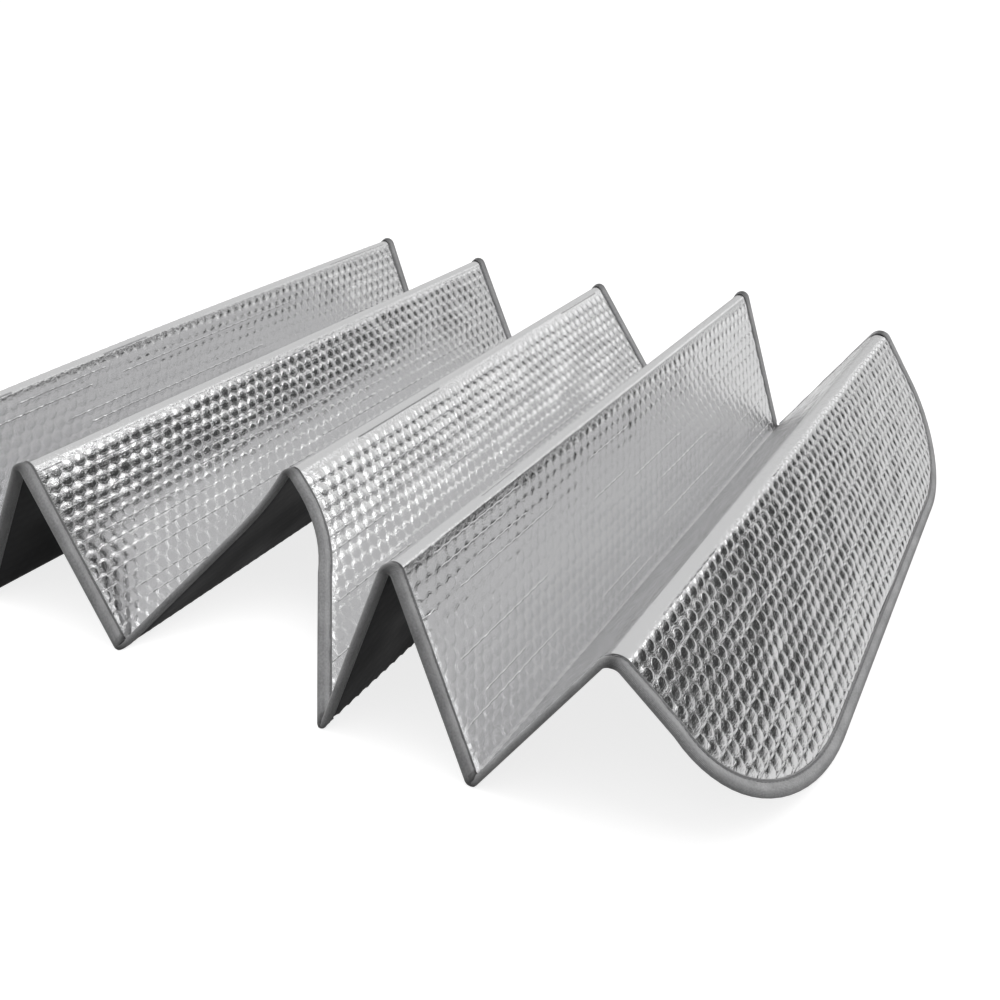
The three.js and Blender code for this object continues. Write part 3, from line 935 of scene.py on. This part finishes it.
def make_edge_tape(pinch_reach=4.0, ripple=0.15, ripple_length=7.0, pressed_to=1.4, pressed_more=0.3):
    fold_at = np.round(ring[:, 0] / panel_width)
    is_fold = np.abs(fold_at) <= panels_per_side
    pinch = np.where(is_fold, np.exp(-(fold_distance(ring[:, 0]) / pinch_reach) ** 2), 0.0)
    valley_pinch = np.where(fold_at % 2 == 1, pinch, 0.0)
    columns = []
    for k, (depth, n) in enumerate(section):
        flat = inset(depth)
        lift = np.zeros(len(path))
        outer = k < len(tape_section) + len(lower_half)
        if outer and 2 < depth < 8:
            lift = ripple * uneven(along, 3 + k // 3, ripple_length) * np.sign(n)
            lift = np.where(n < 0, np.maximum(lift, 0), lift)
        limit = np.where(valley_pinch > 0.2, pressed_to - pressed_more * valley_pinch, np.inf)
        columns.append(np.column_stack([flat, np.minimum(n + lift, limit)]))
    count, wide = len(path), len(section)
    points = np.vstack(columns)
    faces = []
    for k in range(wide):
        after = (k + 1) % wide
        for i in range(count):
            j = (i + 1) % count
            faces.append((k * count + i, k * count + j, after * count + j, after * count + i))
    made = new_object("edge_tape", folded(points), faces, tape_finish)
    # The pinch attribute marks the folds, where the tape's finish paints shade.
    mask = made.data.attributes.new("pinch", "FLOAT", "POINT")
    mask.data.foreach_set("value", np.tile(pinch, wide))
    sides = [math.dist(a, b) for a, b in zip(section, section[1:] + section[:1])]
    around = np.concatenate([[0], np.cumsum(sides)])
    layer = made.data.uv_layers.new(name="along")
    total_along = np.append(along, steps_along.sum())
    uv = []
    for v0, v1 in zip(around, around[1:]):
        for u0, u1 in zip(total_along, total_along[1:]):
            uv += [(u0, v0), (u1, v0), (u1, v1), (u0, v1)]
    layer.data.foreach_set("uv", (np.array(uv) * MM).ravel())
    shade_smooth(made.data)
    fix = bmesh.new()
    fix.from_mesh(made.data)
    bmesh.ops.recalc_face_normals(fix, faces=fix.faces)
    fix.to_mesh(made.data)
    fix.free()
    return made


tape = make_edge_tape()
print("tape", triangle_count(tape), "triangles")

# %% [markdown]
# ## Sewing thread
# A row of short stitches lies in the tape's channel, on both faces. Geometry Nodes spread one stitch
# evenly along the flat path, and the result is folded like everything else. A stitch has few faces,
# because there are over two thousand of them.

# %% Stitches
def make_stitch():
    """One stitch: a short bar with rounded ends, a few dozen faces."""
    sides = 5
    rings = [(-1.5, 0.05, -0.25), (-1.2, 0.22, 0.0), (0.0, 0.26, 0.12), (1.2, 0.22, 0.0), (1.5, 0.05, -0.25)]
    points = []
    for x, radius, z in rings:
        for k in range(sides):
            turn_by = 2 * math.pi * k / sides
            points.append((x, radius * math.cos(turn_by), z + radius * math.sin(turn_by)))
    faces = [tuple(range(sides))[::-1], tuple(range(4 * sides, 5 * sides))]
    for r in range(4):
        for k in range(sides):
            after = (k + 1) % sides
            faces.append((r * sides + k, r * sides + after, (r + 1) * sides + after, (r + 1) * sides + k))
    stitch = new_object("one_stitch", points, faces)
    stitch.hide_render = True
    return stitch


def make_stitch_tree():
    tree = node_tree("stitch_row", [
        ("Stitch", "NodeSocketObject", None), ("Spacing", "NodeSocketFloat", stitch_spacing),
        ("Finish", "NodeSocketMaterial", None)])
    given = tree.nodes.new("NodeGroupInput").outputs
    end = tree.nodes.new("NodeGroupOutput")
    curve = add_node(tree, "GeometryNodeMeshToCurve", Mesh=given["Geometry"])
    dots = add_node(tree, "GeometryNodeCurveToPoints", {"mode": "LENGTH"}, Curve=curve.outputs[0],
                    Length=given["Spacing"])
    stitch = add_node(tree, "GeometryNodeObjectInfo", Object=given["Stitch"])
    facing = add_node(tree, "FunctionNodeAlignRotationToVector", {"axis": "X", "pivot_axis": "Z"},
                      Vector=dots.outputs["Tangent"])
    copies = add_node(tree, "GeometryNodeInstanceOnPoints", Points=dots.outputs["Points"],
                      Instance=stitch.outputs["Geometry"], Rotation=facing.outputs[0])
    solid = add_node(tree, "GeometryNodeRealizeInstances", Geometry=copies.outputs[0])
    finish = add_node(tree, "GeometryNodeSetMaterial", Geometry=solid.outputs[0], Material=given["Finish"])
    tree.links.new(finish.outputs[0], end.inputs[0])
    return tree


stitch = make_stitch()
stitch_tree = make_stitch_tree()


def stitch_row(name, face, lies_at=1.32):
    line = inset(stitch_line)
    count = len(line)
    ring_edges = [(i, (i + 1) % count) for i in range(count)]
    guide = new_object(name, np.column_stack([line, np.zeros(count)]), [], edges=ring_edges)
    modifier = guide.modifiers.new("stitches", "NODES")
    modifier.node_group = stitch_tree
    set_input(modifier, "Stitch", stitch)
    set_input(modifier, "Spacing", stitch_spacing)
    set_input(modifier, "Finish", thread_finish)
    plain = baked_mesh(guide)
    guide.modifiers.clear()
    points = read_points(plain)
    points[:, 2] = (points[:, 2] + lies_at) * face
    write_points(plain, folded(points))
    plain.name = name
    if face < 0:
        plain.flip_normals()
    shade_smooth(plain)
    guide.data = plain
    return guide


thread_top = stitch_row("thread_top", 1)
thread_under = stitch_row("thread_under", -1)
print("stitches on one face:", len(thread_top.data.polygons) // len(stitch.data.polygons))
for helper in (bubble_cell, dimple_cell, stitch):
    bpy.data.objects.remove(helper)
made_here = [*films, backing, tape, thread_top, thread_under]
print("triangles in all:", sum(triangle_count(piece) for piece in made_here))

# %% [markdown]
# ## Join the frame
# Every piece rides on the one body, and the imported solids that they replace are hidden.

# %% Ride and replace
for piece in [*films, backing]:
    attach(piece, "root")
for piece in (tape, thread_top, thread_under):
    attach(piece, "root")
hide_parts("foil_sheet")
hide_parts("edge_binding")

# %% [markdown]
# ## Floor and light
# The floor is one pale plane. It glows only for the camera, for rays that pass through something and,
# at half strength, for reflections, so it looks white and still keeps the shadow. Foil shows what is
# round it, so the studio matters: a large soft lamp above, a small one at the left, and two weak ones
# at the rear. The world has a dark band over the horizon and is lighter higher up. That band gives the
# steep end panel its dark flecks. The camera itself sees the world as plain white.

# %% Floor
def make_floor(half=12.0, grey=0.42, glow_strength=0.8, mirrored_share=0.5):
    floor = new_object("floor", [(-half, -half, 0), (half, -half, 0), (half, half, 0), (-half, half, 0)],
                       [(0, 1, 2, 3)])
    material = bpy.data.materials.new("pale_floor")
    material.use_nodes = True
    tree = material.node_tree
    tree.nodes.clear()
    paint = add_node(tree, "ShaderNodeBsdfDiffuse", Color=(grey, grey, grey, 1))
    light_path = tree.nodes.new("ShaderNodeLightPath")
    mirrored = math_node(tree, "MULTIPLY", light_path.outputs["Is Glossy Ray"], mirrored_share)
    seen = math_node(tree, "MAXIMUM", light_path.outputs["Is Camera Ray"], mirrored)
    seen = math_node(tree, "MAXIMUM", seen, light_path.outputs["Is Transmission Ray"])
    glow = add_node(tree, "ShaderNodeEmission", Color=(1, 1, 1, 1),
                    Strength=math_node(tree, "MULTIPLY", seen, glow_strength))
    both = tree.nodes.new("ShaderNodeAddShader")
    tree.links.new(paint.outputs[0], both.inputs[0])
    tree.links.new(glow.outputs[0], both.inputs[1])
    result = tree.nodes.new("ShaderNodeOutputMaterial")
    tree.links.new(both.outputs[0], result.inputs["Surface"])
    floor.data.materials.append(material)
    return floor


make_floor()

# %% World and lamps
def make_world(tilt=0.3, spread=0.7, middle=0.3):
    """Greys by height, from the ground up, on a sky that is tilted a little to the right."""
    world = bpy.data.worlds.new("studio")
    bpy.context.scene.world = world
    world.use_nodes = True
    tree = world.node_tree
    parts = tree_parts(tree, add_node(tree, "ShaderNodeTexCoord").outputs["Generated"])
    climb = math_node(tree, "SUBTRACT", parts["Z"], math_node(tree, "MULTIPLY", parts["X"], tilt))
    height = math_node(tree, "ADD", math_node(tree, "MULTIPLY", climb, spread), middle)
    sky = colour_ramp(tree, height, greys([(0.0, 0.6), (0.19, 0.5), (0.235, 0.05), (0.38, 0.04),
                                           (0.44, 0.5), (0.50, 0.72), (1.0, 0.72)]))
    light_path = tree.nodes.new("ShaderNodeLightPath").outputs
    seen = math_node(tree, "MAXIMUM", light_path["Is Camera Ray"], light_path["Is Transmission Ray"])
    tree.links.new(math_node(tree, "MAXIMUM", sky, seen), tree.nodes["Background"].inputs["Color"])
    tree.nodes["Background"].inputs["Strength"].default_value = 1.0


def add_lamp(name, place, aim, size, power):
    data = bpy.data.lights.new(name, "AREA")
    data.shape = "RECTANGLE"
    data.size, data.size_y = size
    data.energy = power
    lamp = bpy.data.objects.new(name, data)
    lamp.location = place
    lamp.rotation_euler = (Vector(aim) - Vector(place)).to_track_quat("-Z", "Y").to_euler()
    bpy.context.scene.collection.objects.link(lamp)
    return lamp


make_world()
add_lamp("overhead_soft", (0.3, -0.25, 1.9), (0.3, -0.1, 0), (2.4, 1.2), 16)
add_lamp("left_soft", (-1.8, -0.6, 1.3), (0, 0, 0), (1.0, 1.0), 5)
add_lamp("rear_soft", (0.8, 1.95, 0.52), (0, 0, 0), (0.8, 1.0), 1.5)
add_lamp("rear_spark", (1.4, 1.1, 1.3), (0, 0, 0), (0.5, 0.45), 1.1)
